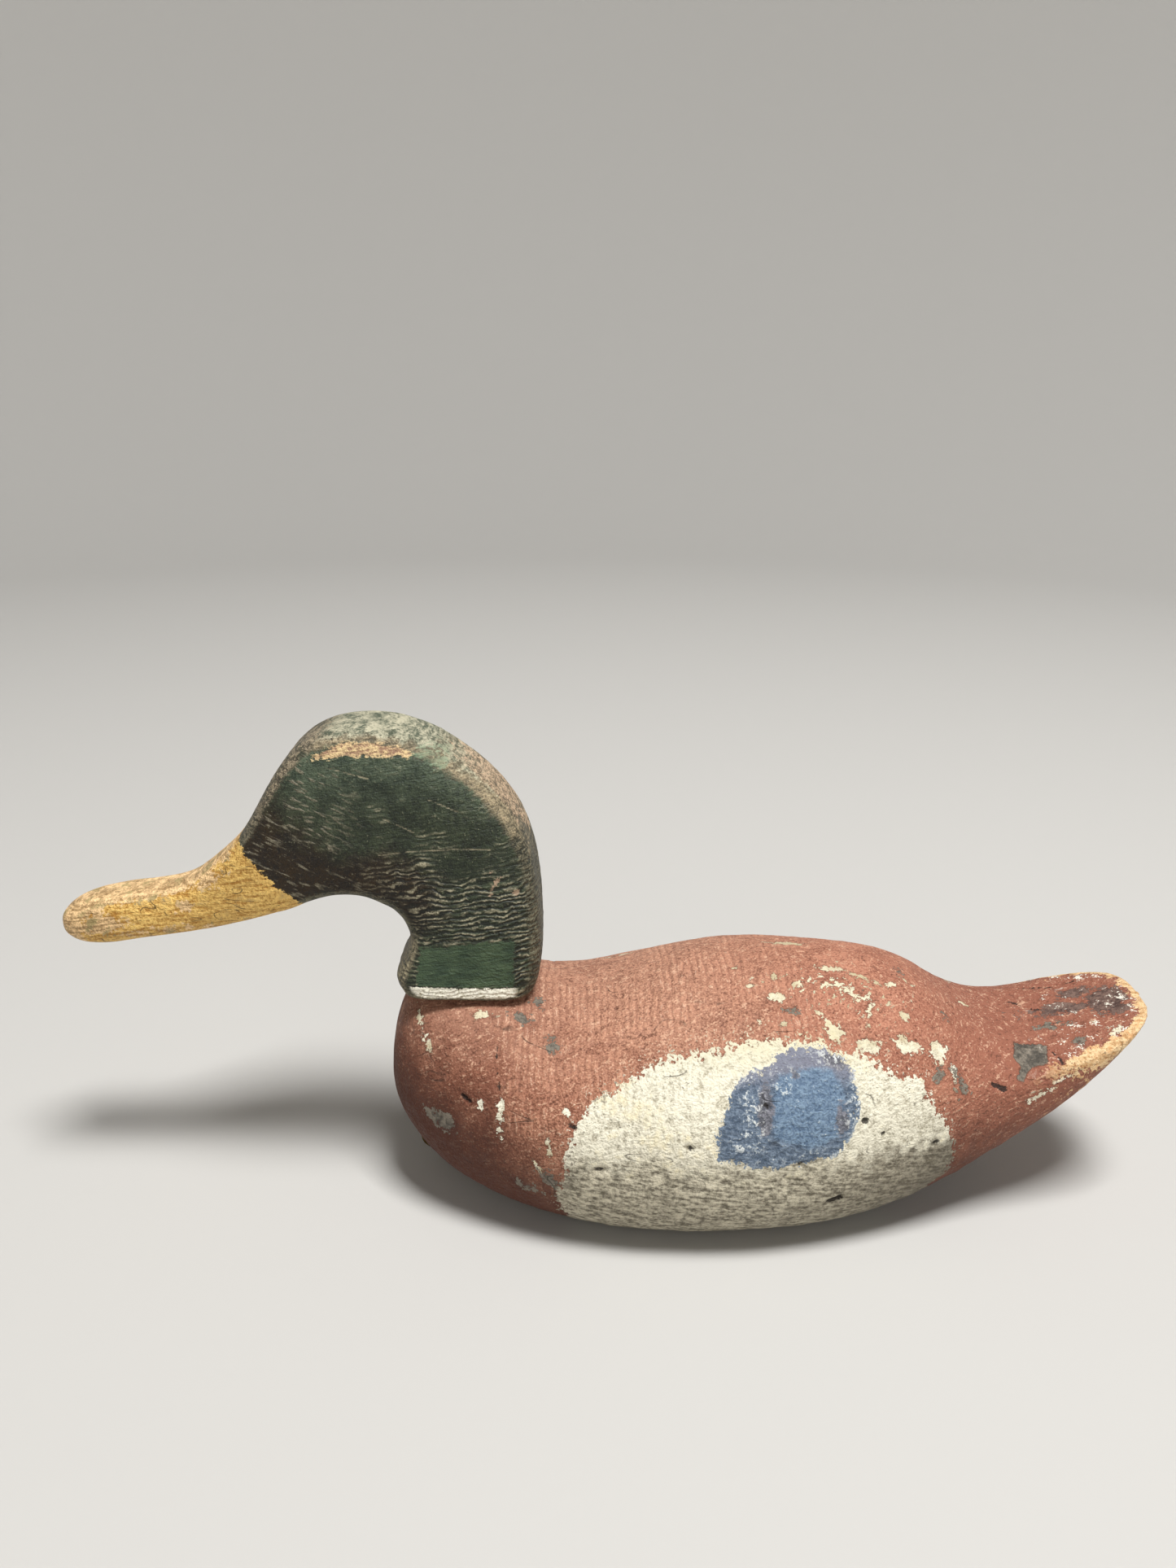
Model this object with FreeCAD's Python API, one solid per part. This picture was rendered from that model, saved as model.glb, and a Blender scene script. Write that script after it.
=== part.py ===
"""Floating duck decoy: a carved wooden body block, a sawn and rounded head that turns on a neck dowel,
the screw and washer that hold the dowel down, a lead ballast strip with its screws, and a staple and
ring for the anchor line. Millimetres, +Z up, bill towards -X, tail towards +X, standing on Z = 0."""

import math
import os

import FreeCAD
import Part

V = FreeCAD.Vector
UP = V(0, 0, 1)

# ---------------------------------------------------------------- driving dimensions
OVERALL_LENGTH = 438.0  # bill tip to tail tip
BILL_X = -OVERALL_LENGTH / 2
TAIL_X = OVERALL_LENGTH / 2
BREAST_X = -90.0  # foremost point of the body block
NOSE_Z = 50.0  # its height
TAIL_Z = 80.0  # height of the tail tip
BILL_Z = 111.0  # height of the bill tip
SEAT_Z = 86.0  # flat shelf under the neck
SEAT_FRONT_X = -87.0
SEAT_BACK_X = -26.0
SEAT_GAP = 0.25  # running clearance between shelf and neck

NECK_X = -57.0  # axis that the head turns about
DOWEL_RADIUS = 10.0
DOWEL_CLEARANCE = 0.08  # running fit in the body's bore
DOWEL_FLOOR_Z = 46.5
DOWEL_TOP_Z = 120.0
BORE_FLOOR_Z = 46.0

SCREW_RADIUS = 2.5
SCREW_TOP_Z = 70.0
SCREW_POINT = 5.0  # length of the pointed end
SCREW_HEAD_RADIUS = 5.0
SCREW_HEAD_HEIGHT = 3.2
SCREW_SLOT = 1.2
SCREW_HOLE_RADIUS = 3.0
WASHER_RADIUS = 8.0
WASHER_THICKNESS = 1.5
WASHER_GAP = 0.25  # between washer and screw head
POCKET_RADIUS = 9.0  # pocket in the underside for washer and screw head
POCKET_CEILING_Z = 20.0
SCREW_HEAD_TOP_Z = POCKET_CEILING_Z - WASHER_THICKNESS - WASHER_GAP

BALLAST_FRONT_X = -5.0
BALLAST_BACK_X = 95.0
BALLAST_HALF_WIDTH = 12.5
BALLAST_UNDER_Z = 0.6  # sits that far inside the flat bottom
BALLAST_THICKNESS = 8.0
BALLAST_SIDE_GAP = 0.3
BALLAST_SCREW_XS = (12.0, 78.0)
BALLAST_SCREW_RADIUS = 2.0
BALLAST_SCREW_HEAD_RADIUS = 4.0
BALLAST_SCREW_HEAD_HEIGHT = 2.6
BALLAST_SCREW_TOP_Z = 27.0

STAPLE_X = -73.5
STAPLE_CROWN_Z = 12.2
STAPLE_HALF_SPACING = 5.0
STAPLE_WIRE_RADIUS = 1.0
STAPLE_BEND_RADIUS = 2.5
STAPLE_TOP_Z = 34.0
RING_RADIUS = 5.0  # to the middle of its wire
RING_WIRE_RADIUS = 1.0
RING_PLAY = 0.3  # between ring wire and staple wire

# Body lines, nose to tail: back and belly in side view, half width in top view, height of the widest point.
BACK_LINE = [(BREAST_X, NOSE_Z), (-88.6, 64), (-84.5, 78), (-77, 86.5), (-62, 89.5), (-40, 88), (-27, 84),
             (-12, 83), (8, 87), (32, 93.5), (62, 97.4), (92, 97), (120, 91.6), (146, 76), (168, 71.2),
             (190, 75.3), (206, 79.8), (215.5, 82.2), (TAIL_X, TAIL_Z)]
BELLY_LINE = [(BREAST_X, NOSE_Z), (-87.5, 38), (-79.5, 26), (-67, 14), (-51, 5.5), (-28, -1), (5, -5),
              (60, -5), (95, -2.5), (122, 4), (150, 18), (178, 38), (202, 63.5), (213, 76.5),
              (TAIL_X, TAIL_Z)]
PLAN_LINE = [(BREAST_X, 0), (-88.5, 14), (-83, 27), (-70, 40), (-45, 54), (-10, 65.5), (30, 70), (70, 67.5),
             (110, 57), (145, 45), (175, 37), (198, 31), (211, 23.5), (217.3, 12), (TAIL_X, 0)]
WIDEST_LINE = [(BREAST_X, NOSE_Z), (-50, 44), (20, 40), (90, 41), (140, 49), (180, 64), (203, 75),
               (TAIL_X, TAIL_Z)]
BODY_RIBS = 24
BACK_FULLNESS = 2.0  # 2 is an ellipse, more is squarer
TAIL_FULLNESS = 2.9
TAIL_STARTS_X = 100.0
BELLY_FULLNESS = 3.0

# Head lines, bill tip to neck foot: (outer x, outer z, inner x, inner z, half thickness, fullness).
# Outer runs over forehead, crown and nape; inner runs under the bill and down the throat.
HEAD_RIBS = [(-216.8, 117.5, -215.5, 103.5, 9.5, 2.6), (-208, 122, -206, 101.5, 12, 2.8),
             (-190, 125.6, -190, 103.6, 13, 3), (-168, 130.2, -166, 107.4, 13.5, 3.2),
             (-158, 137, -150, 111.4, 15, 3.6), (-145.5, 149, -136, 115.8, 17.5, 4),
             (-133.5, 168.5, -124, 120.2, 19.5, 4.5), (-121, 186, -115, 124, 21, 4.5),
             (-105.5, 194.6, -105.5, 126, 21.5, 4.5), (-86, 195.2, -96, 125.2, 21.5, 4.5),
             (-67, 189, -87.5, 121.6, 21.5, 4.5), (-49.5, 176, -81.5, 115.2, 22, 4.5)]
NECK_RIBS = [*HEAD_RIBS[-2:], (-35, 157, -79.8, 108, 22.5, 4.5), (-28.2, 132, -82, 101.5, 23, 4.5),
             (-26.8, 110, -85, 95.5, 23.5, 4.5), (-27.6, 94, -85.6, 91, 24, 4.5),
             (-30.5, SEAT_Z + SEAT_GAP, -83, SEAT_Z + SEAT_GAP, 24, 4.5)]
SIDE_POINTS = 13  # points up one side of a rib


# ---------------------------------------------------------------- lofted ribs
def spline(points):
    """A smooth curve through (x, height) pairs, in the XZ plane."""
    curve = Part.BSplineCurve()
    curve.interpolate([V(x, 0, z) for x, z in points])
    return curve


def height_at(curve, x):
    """The curve's z where it crosses x; x grows along the curve."""
    low, high = curve.FirstParameter, curve.LastParameter
    for _ in range(50):
        middle = (low + high) / 2
        if curve.value(middle).x < x:
            low = middle
        else:
            high = middle
    return curve.value((low + high) / 2).z


def superellipse(angle, fullness):
    """Unit point (across, up) at an angle between straight down and straight up."""
    across = max(math.cos(angle), 0) ** (2 / fullness)
    up = math.copysign(abs(math.sin(angle)) ** (2 / fullness), angle)
    return across, up


def rib(low, high, widest, half, fullness_low, fullness_high):
    """Closed cross-section in two halves, from low to high and back; all three points lie in the XZ plane."""
    side = [low]
    for i in range(1, SIDE_POINTS - 1):
        angle = math.pi * (i / (SIDE_POINTS - 1) - 0.5)
        across, up = superellipse(angle, fullness_high if angle > 0 else fullness_low)
        end = high if up > 0 else low
        side.append(widest + (end - widest) * abs(up) + V(0, half * across, 0))
    side.append(high)
    near, far = Part.BSplineCurve(), Part.BSplineCurve()
    far.interpolate(side)
    near.interpolate([V(p.x, -p.y, p.z) for p in reversed(side)])
    return Part.Wire([far.toShape(), near.toShape()])


def cylinder(radius, x, low_z, high_z, y=0):
    return Part.makeCylinder(radius, high_z - low_z, V(x, y, low_z))


# ---------------------------------------------------------------- line tie
def line_tie_staple():
    """A round wire staple, legs up in the wood, its crown across the body."""
    x, s, r, z = STAPLE_X, STAPLE_HALF_SPACING, STAPLE_BEND_RADIUS, STAPLE_CROWN_Z
    k = r * (1 - math.sqrt(0.5))
    edges = [Part.LineSegment(V(x, -s, STAPLE_TOP_Z), V(x, -s, z + r)).toShape(),
             Part.Arc(V(x, -s, z + r), V(x, -s + k, z + k), V(x, -s + r, z)).toShape(),
             Part.LineSegment(V(x, -s + r, z), V(x, s - r, z)).toShape(),
             Part.Arc(V(x, s - r, z), V(x, s - k, z + k), V(x, s, z + r)).toShape(),
             Part.LineSegment(V(x, s, z + r), V(x, s, STAPLE_TOP_Z)).toShape()]
    circle = Part.Wire([Part.makeCircle(STAPLE_WIRE_RADIUS, V(x, -s, STAPLE_TOP_Z), UP)])
    return Part.Wire(edges).makePipeShell([circle], True, False)


def line_tie_ring():
    """The ring hangs on the staple's crown, its wire passing above the crown."""
    drop = RING_RADIUS - RING_WIRE_RADIUS - STAPLE_WIRE_RADIUS - RING_PLAY
    return Part.makeTorus(RING_RADIUS, RING_WIRE_RADIUS, V(STAPLE_X, 0, STAPLE_CROWN_Z - drop), V(0, 1, 0))


# ---------------------------------------------------------------- ballast
def ballast_slab(half_width, low_z, high_z):
    """A strip with round ends along the middle of the underside."""
    front = BALLAST_FRONT_X + BALLAST_HALF_WIDTH
    back = BALLAST_BACK_X - BALLAST_HALF_WIDTH
    slab = Part.makeBox(back - front, 2 * half_width, high_z - low_z, V(front, -half_width, low_z))
    for x in (front, back):
        slab = slab.fuse(cylinder(half_width, x, low_z, high_z))
    return slab.removeSplitter()


def ballast_screw(x):
    shank = cylinder(BALLAST_SCREW_RADIUS, x, BALLAST_UNDER_Z, BALLAST_SCREW_TOP_Z - SCREW_POINT)
    point = Part.makeCone(BALLAST_SCREW_RADIUS, 0, SCREW_POINT, V(x, 0, BALLAST_SCREW_TOP_Z - SCREW_POINT))
    head = Part.makeCone(BALLAST_SCREW_HEAD_RADIUS, BALLAST_SCREW_RADIUS, BALLAST_SCREW_HEAD_HEIGHT,
                         V(x, 0, BALLAST_UNDER_Z))
    return shank.fuse([point, head]).removeSplitter()


def slotted(screw, x, under_z, head_radius):
    slot = Part.makeBox(SCREW_SLOT, 2 * head_radius + 2, SCREW_SLOT,
                        V(x - SCREW_SLOT / 2, -head_radius - 1, under_z))
    return screw.cut(slot)


def ballast_screws():
    screws = []
    for x in BALLAST_SCREW_XS:
        screws.append(slotted(ballast_screw(x), x, BALLAST_UNDER_Z, BALLAST_SCREW_HEAD_RADIUS))
    return Part.makeCompound(screws)


def ballast_weight():
    slab = ballast_slab(BALLAST_HALF_WIDTH, BALLAST_UNDER_Z, BALLAST_UNDER_Z + BALLAST_THICKNESS)
    for x in BALLAST_SCREW_XS:
        slab = slab.cut(ballast_screw(x))
    return slab


# ---------------------------------------------------------------- neck
def neck_screw_blank():
    """The screw without its slot: head below the washer, shank up into the dowel, pointed end."""
    head = cylinder(SCREW_HEAD_RADIUS, NECK_X, SCREW_HEAD_TOP_Z - SCREW_HEAD_HEIGHT, SCREW_HEAD_TOP_Z)
    head = head.makeFillet(SCREW_HEAD_HEIGHT * 0.6, [head.Edges[2]])
    shank = cylinder(SCREW_RADIUS, NECK_X, SCREW_HEAD_TOP_Z, SCREW_TOP_Z - SCREW_POINT)
    point = Part.makeCone(SCREW_RADIUS, 0, SCREW_POINT, V(NECK_X, 0, SCREW_TOP_Z - SCREW_POINT))
    return head.fuse([shank, point])


def neck_screw():
    under_z = SCREW_HEAD_TOP_Z - SCREW_HEAD_HEIGHT
    return slotted(neck_screw_blank(), NECK_X, under_z, SCREW_HEAD_RADIUS)


def neck_washer():
    low = POCKET_CEILING_Z - WASHER_THICKNESS
    disc = cylinder(WASHER_RADIUS, NECK_X, low, POCKET_CEILING_Z)
    return disc.cut(cylinder(SCREW_HOLE_RADIUS, NECK_X, low, POCKET_CEILING_Z))


def neck_dowel():
    return cylinder(DOWEL_RADIUS, NECK_X, DOWEL_FLOOR_Z, DOWEL_TOP_Z).cut(neck_screw_blank())


# ---------------------------------------------------------------- wooden parts
def fan(ribs):
    """Closed cross-sections that fan out around the throat."""
    wires = []
    for outer_x, outer_z, inner_x, inner_z, half, fullness in ribs:
        low, high = V(inner_x, 0, inner_z), V(outer_x, 0, outer_z)
        wires.append(rib(low, high, (low + high) / 2, half, fullness, fullness))
    return wires


def head():
    """Bill and skull in one loft, the neck in a second one that starts one rib inside it."""
    skull = Part.makeLoft([Part.Vertex(V(BILL_X, 0, BILL_Z)), *fan(HEAD_RIBS)], True, False)
    neck = Part.makeLoft(fan(NECK_RIBS), True, False)
    return skull.fuse(neck).cut(cylinder(DOWEL_RADIUS, NECK_X, DOWEL_FLOOR_Z, DOWEL_TOP_Z))


def body_block():
    """The carved hull with its flat bottom, before any hole is made."""
    back, belly, plan, widest = (spline(line) for line in (BACK_LINE, BELLY_LINE, PLAN_LINE, WIDEST_LINE))
    middle, reach = (BREAST_X + TAIL_X) / 2, (TAIL_X - BREAST_X) / 2
    wires = []
    for i in range(1, BODY_RIBS):
        x = middle - reach * math.cos(math.pi * i / BODY_RIBS)
        tail_part = max(0, x - TAIL_STARTS_X) / (TAIL_X - TAIL_STARTS_X)
        fullness = BACK_FULLNESS + (TAIL_FULLNESS - BACK_FULLNESS) * tail_part
        low = V(x, 0, height_at(belly, x))
        high = V(x, 0, height_at(back, x))
        side = V(x, 0, height_at(widest, x))
        wires.append(rib(low, high, side, height_at(plan, x), BELLY_FULLNESS, fullness))
    nose, tail = Part.Vertex(V(BREAST_X, 0, NOSE_Z)), Part.Vertex(V(TAIL_X, 0, TAIL_Z))
    hull = Part.makeLoft([nose, *wires, tail], True, False)
    return hull.cut(Part.makeBox(2 * TAIL_X, 200, 30, V(BILL_X, -100, -30)))


def body():
    shelf = Part.makeBox(SEAT_BACK_X - SEAT_FRONT_X, 100, 30, V(SEAT_FRONT_X, -50, SEAT_Z))
    cuts = [shelf,
            cylinder(DOWEL_RADIUS + DOWEL_CLEARANCE, NECK_X, BORE_FLOOR_Z, SEAT_Z + 10),
            cylinder(SCREW_HOLE_RADIUS, NECK_X, POCKET_CEILING_Z, BORE_FLOOR_Z),
            cylinder(POCKET_RADIUS, NECK_X, -10, POCKET_CEILING_Z),
            ballast_slab(BALLAST_HALF_WIDTH + BALLAST_SIDE_GAP, -10, BALLAST_UNDER_Z + BALLAST_THICKNESS),
            *[ballast_screw(x) for x in BALLAST_SCREW_XS],
            line_tie_staple()]
    block = body_block()
    for piece in cuts:
        block = block.cut(piece)
    return block


def main():
    os.makedirs("parts", exist_ok=True)
    pieces = {"body": body(), "head": head(), "neck_dowel": neck_dowel(), "neck_screw": neck_screw(),
              "neck_washer": neck_washer(), "ballast_weight": ballast_weight(),
              "ballast_screws": ballast_screws(), "line_tie_staple": line_tie_staple(),
              "line_tie_ring": line_tie_ring()}
    for name, shape in pieces.items():
        print(name, shape.isValid(), len(shape.Solids), round(shape.Volume), shape.BoundBox)
        shape.exportStep(f"parts/{name}.step")


main()
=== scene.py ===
"""Looks of the floating duck decoy: carved and rasped wood under several coats of worn paint, around the
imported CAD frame. Metres; bill towards -X, tail towards +X, near side -Y, standing on Z = 0."""
import math

import bpy
import numpy as np
from mathutils import Matrix, Vector


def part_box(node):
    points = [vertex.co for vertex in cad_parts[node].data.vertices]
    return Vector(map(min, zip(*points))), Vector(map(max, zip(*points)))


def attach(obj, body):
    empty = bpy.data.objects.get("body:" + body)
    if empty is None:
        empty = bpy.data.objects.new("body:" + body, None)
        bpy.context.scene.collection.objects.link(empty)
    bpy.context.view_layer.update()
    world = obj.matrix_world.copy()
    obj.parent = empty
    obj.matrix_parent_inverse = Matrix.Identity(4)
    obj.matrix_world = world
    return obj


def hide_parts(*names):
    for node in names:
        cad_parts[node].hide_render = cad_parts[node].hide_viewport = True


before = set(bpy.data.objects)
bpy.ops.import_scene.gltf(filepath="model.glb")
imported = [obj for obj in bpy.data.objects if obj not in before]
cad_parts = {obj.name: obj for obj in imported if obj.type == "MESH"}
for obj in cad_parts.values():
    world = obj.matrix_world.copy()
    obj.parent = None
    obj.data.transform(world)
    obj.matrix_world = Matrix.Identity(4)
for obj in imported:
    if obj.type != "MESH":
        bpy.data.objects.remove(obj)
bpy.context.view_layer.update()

MM = 0.001
BODY_LOW, BODY_HIGH = (np.array(corner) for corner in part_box("body"))
HEAD_LOW, HEAD_HIGH = (np.array(corner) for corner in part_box("head"))

# Mesh sizes in mm, fine enough for the pits and scratches, with less than 200,000 triangles in each piece.
BODY_VOXEL = 1.2
HEAD_VOXEL = 0.71
RELAX_ROUNDS = 6  # take the steps of the voxels away

# Mean depths of the noises that are carved inwards from the CAD surface, in mm.
BODY_DENTS = 0.5
TOOL_MARKS = 0.2
LOW_ROUGHNESS = 0.12
HEAD_DENTS = 0.3
HEAD_GRAIN = 0.16

# Full depths of single features of the body, in mm.
CRACK_DEPTH = 0.6
PIT_DEPTH = 1.3
TAIL_FLAKE_DEPTH = 0.3

# Sizes and places of the paint and the wear, in mm, upwards from the piece's bottom or back from its front.
RASP_PITCH = 2.8
WEATHER_AND_SHADE_LINE = 43  # the side panel is weathered, and partly darkened with painted shade, below this height
NECK_RIDGE_PITCH = 2.2
NECK_RIDGE_RISE = 0.11555  # how far the ridges climb, per length towards the tail
RING_BOTTOM = 0.8
RING_TOP = 6.2
RING_BACK = 182.5
SHRINK_ON_SIDES = 9  # taken off the back's spots where the surface doesn't face up

# Shifts along X and Z in metres, so that the wear on the far side isn't a mirror image.
FAR_SIDE_SHIFT = np.array([-19, 5]) * MM
FAR_CHEEK_SHIFT = np.array([-6, 9]) * MM


# ---------------------------------------------------------------- noise and fields, as numpy arrays
def lattice_noise(points, seed):
    """Smooth noise between -1 and 1, one feature per unit of length."""
    rng = np.random.default_rng(seed)
    order = rng.permutation(256)
    values = rng.uniform(-1, 1, 256)
    cell = np.floor(points).astype(int)
    part = points - cell
    part = part * part * (3 - 2 * part)
    total = np.zeros(len(points))
    for corner in np.ndindex(2, 2, 2):
        weight = np.prod(np.where(corner, part, 1 - part), axis=1)
        x, y, z = ((cell + corner) & 255).T
        total += weight * values[order[(order[(order[x] + y) & 255] + z) & 255]]
    return total


def noise(points, size_mm, seed, stretch=(1, 1, 1), octaves=3):
    """Layered noise; stretch above 1 draws the features out along that axis."""
    scaled = points / (np.array(stretch) * size_mm * MM)
    total, strength, sum_of_strengths = 0, 1, 0
    for octave in range(octaves):
        total = total + strength * lattice_noise(scaled * 2 ** octave + 17.3 * octave, seed + octave)
        sum_of_strengths += strength
        strength *= 0.5
    return total / sum_of_strengths


def smooth_step(values, low, high):
    t = np.clip((values - low) / (high - low), 0, 1)
    return t * t * (3 - 2 * t)


def distance_to_line(flat, line):
    """Distance in a flat view from each point to a line through the points given."""
    best = np.full(len(flat), np.inf)
    for a, b in zip(line[:-1], line[1:]):
        along = b - a
        t = np.clip(((flat - a) @ along) / (along @ along), 0, 1)
        best = np.minimum(best, np.linalg.norm(flat - a - t[:, None] * along, axis=1))
    return best


def inside_outline(flat, outline):
    """Distance in mm to a closed outline in a flat view, positive inside it."""
    closed = np.vstack([outline, outline[:1]])
    inside = np.zeros(len(flat), bool)
    for a, b in zip(closed[:-1], closed[1:]):
        if a[1] == b[1]:
            continue
        crosses = (a[1] > flat[:, 1]) != (b[1] > flat[:, 1])
        x = a[0] + (flat[:, 1] - a[1]) / (b[1] - a[1]) * (b[0] - a[0])
        inside ^= crosses & (flat[:, 0] < x)
    return np.where(inside, 1, -1) * distance_to_line(flat, closed) / MM


def percent_points(percents, low, high):
    """Points of a flat view from percents of a piece's box in that view."""
    return low + np.array(percents) / 100 * (high - low)


def spots(flat, places, low, high):
    """Field in mm, positive inside any of the oval spots of a flat view."""
    best = np.full(len(flat), -np.inf)
    for across, up, length, height, lean in places:
        away = (flat - percent_points((across, up), low, high)) / MM
        turn = math.radians(lean)
        a = away[:, 0] * math.cos(turn) + away[:, 1] * math.sin(turn)
        b = away[:, 1] * math.cos(turn) - away[:, 0] * math.sin(turn)
        reach = np.hypot(a / (length / 2), b / (height / 2))
        best = np.maximum(best, (1 - reach) * min(length, height) / 2)
    return best


# ---------------------------------------------------------------- meshes
def fine_copy(node, voxel_mm):
    """The CAD node as an even, fine quad mesh."""
    piece = bpy.data.objects.new(node + "_carved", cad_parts[node].data.copy())
    bpy.context.scene.collection.objects.link(piece)
    remesh = piece.modifiers.new("remesh", "REMESH")
    remesh.mode = "VOXEL"
    remesh.voxel_size = voxel_mm * MM
    remesh.use_smooth_shade = True
    relaxed = piece.modifiers.new("relax", "SMOOTH")
    relaxed.factor = 0.5
    relaxed.iterations = RELAX_ROUNDS
    evaluated = piece.evaluated_get(bpy.context.evaluated_depsgraph_get())
    mesh = bpy.data.meshes.new_from_object(evaluated)
    piece.modifiers.clear()
    piece.data = mesh
    mesh.materials.clear()
    return piece


def read_points(mesh):
    points = np.empty(len(mesh.vertices) * 3)
    mesh.vertices.foreach_get("co", points)
    return points.reshape(-1, 3)


def read_normals(mesh):
    normals = np.empty(len(mesh.vertices) * 3)
    mesh.vertex_normals.foreach_get("vector", normals)
    return normals.reshape(-1, 3)


def write_points(mesh, points):
    mesh.vertices.foreach_set("co", points.ravel())
    mesh.update()


def write_field(mesh, name, values):
    field = mesh.attributes.new(name, "FLOAT", "POINT")
    field.data.foreach_set("value", np.ascontiguousarray(values, dtype=np.float32))


def spread(mesh, values, rounds):
    """Averages values with their neighbours."""
    edges = np.empty(len(mesh.edges) * 2, dtype=int)
    mesh.edges.foreach_get("vertices", edges)
    a, b = edges.reshape(-1, 2).T
    count = np.bincount(a, minlength=len(values)) + np.bincount(b, minlength=len(values))
    for _ in range(rounds):
        total = np.bincount(a, values[b], len(values)) + np.bincount(b, values[a], len(values))
        values = 0.5 * values + 0.5 * total / np.maximum(count, 1)
    return values


def sharpness(mesh, rounds):
    """How strongly the surface bends outwards around each point."""
    points, normals = read_points(mesh), read_normals(mesh)
    mean = np.stack([spread(mesh, points[:, k], rounds) for k in range(3)], axis=1)
    return np.einsum("ij,ij->i", points - mean, normals) / MM


# ---------------------------------------------------------------- node materials
def colour(code):
    """Linear colour from an sRGB code such as "a5654c"."""
    parts = [int(code[i:i + 2], 16) / 255 for i in (0, 2, 4)]
    return [p / 12.92 if p <= 0.04045 else ((p + 0.055) / 1.055) ** 2.4 for p in parts] + [1]


class Coat:
    """One node material, built up from sockets, numbers and colour codes."""

    def __init__(self, name):
        self.material = bpy.data.materials.new(name)
        self.material.use_nodes = True
        self.nodes = self.material.node_tree.nodes
        self.links = self.material.node_tree.links
        self.shader = self.nodes["Principled BSDF"]
        self.place = self.nodes.new("ShaderNodeTexCoord").outputs["Object"]

    def put(self, value, socket):
        """Feeds a socket from another socket, a number or a colour code."""
        if isinstance(value, bpy.types.NodeSocket):
            self.links.new(value, socket)
        elif isinstance(value, str):
            socket.default_value = colour(value)
        else:
            socket.default_value = value

    def calc(self, operation, *values):
        node = self.nodes.new("ShaderNodeMath")
        node.operation = operation
        for value, socket in zip(values, node.inputs):
            self.put(value, socket)
        return node.outputs[0]

    def add(self, *values):
        total = values[0]
        for value in values[1:]:
            total = self.calc("ADD", total, value)
        return total

    def times(self, *values):
        total = values[0]
        for value in values[1:]:
            total = self.calc("MULTIPLY", total, value)
        return total

    def least(self, a, b):
        return self.calc("MINIMUM", a, b)

    def most(self, a, b):
        return self.calc("MAXIMUM", a, b)

    def no(self, mask):
        return self.calc("SUBTRACT", 1, mask)

    def noise(self, size_mm, stretch=(1, 1, 1), detail=3, rough=0.55, lean=0, shift=0):
        """Noise about 0, mostly between -1 and 1; stretched features may lean down towards the tail."""
        moved = self.nodes.new("ShaderNodeMapping")
        moved.vector_type = "TEXTURE"
        moved.inputs["Location"].default_value = (shift, shift, shift)
        moved.inputs["Rotation"].default_value = (0, math.radians(lean), 0)
        moved.inputs["Scale"].default_value = stretch
        self.links.new(self.place, moved.inputs["Vector"])
        node = self.nodes.new("ShaderNodeTexNoise")
        node.inputs["Scale"].default_value = 1 / (size_mm * MM)
        node.inputs["Detail"].default_value = detail
        node.inputs["Roughness"].default_value = rough
        self.links.new(moved.outputs[0], node.inputs["Vector"])
        return self.calc("MULTIPLY_ADD", node.outputs[0], 4, -2)

    def cracks(self, size_mm, width, stretch=(1, 1, 1)):
        """1 on thin wavy lines, else 0."""
        return self.step(self.calc("ABSOLUTE", self.noise(size_mm, stretch, detail=2, shift=0.4)), width, 0)

    def along(self, axis):
        """Distance in metres along X (0), Y (1) or Z (2)."""
        node = self.nodes.new("ShaderNodeSeparateXYZ")
        self.links.new(self.place, node.inputs[0])
        return node.outputs[axis]

    def field(self, name):
        """A value that write_field has stored on the mesh."""
        node = self.nodes.new("ShaderNodeAttribute")
        node.attribute_name = name
        return node.outputs["Fac"]

    def step(self, value, low, high, bottom=0, top=1):
        """Goes smoothly from bottom, where the value is low, to top, where it's high."""
        node = self.nodes.new("ShaderNodeMapRange")
        node.interpolation_type = "SMOOTHSTEP"
        for socket, number in zip(list(node.inputs)[1:5], (low, high, bottom, top)):
            socket.default_value = number
        self.put(value, node.inputs[0])
        return node.outputs[0]

    def lip(self, value, width):
        """1 where the value is 0, on the edge of a patch, falling to 0 within the width either way."""
        return self.times(self.step(value, -width, 0), self.step(value, width, 0))

    def mix(self, mask, below, above):
        """The colour above where the mask is 1, over the colour below."""
        node = self.nodes.new("ShaderNodeMix")
        node.data_type = "RGBA"
        self.put(mask, node.inputs["Factor"])
        self.put(below, node.inputs[6])
        self.put(above, node.inputs[7])
        return node.outputs[2]

    def finish(self, base, rough, height_mm):
        """Feeds the shader its colour, roughness and bump, and returns the material."""
        self.put(base, self.shader.inputs["Base Color"])
        self.put(rough, self.shader.inputs["Roughness"])
        self.shader.inputs["Specular IOR Level"].default_value = 0.35
        bump = self.nodes.new("ShaderNodeBump")
        bump.inputs["Strength"].default_value = 1
        bump.inputs["Distance"].default_value = MM
        self.links.new(height_mm, bump.inputs["Height"])
        self.links.new(bump.outputs[0], self.shader.inputs["Normal"])
        return self.material


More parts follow.
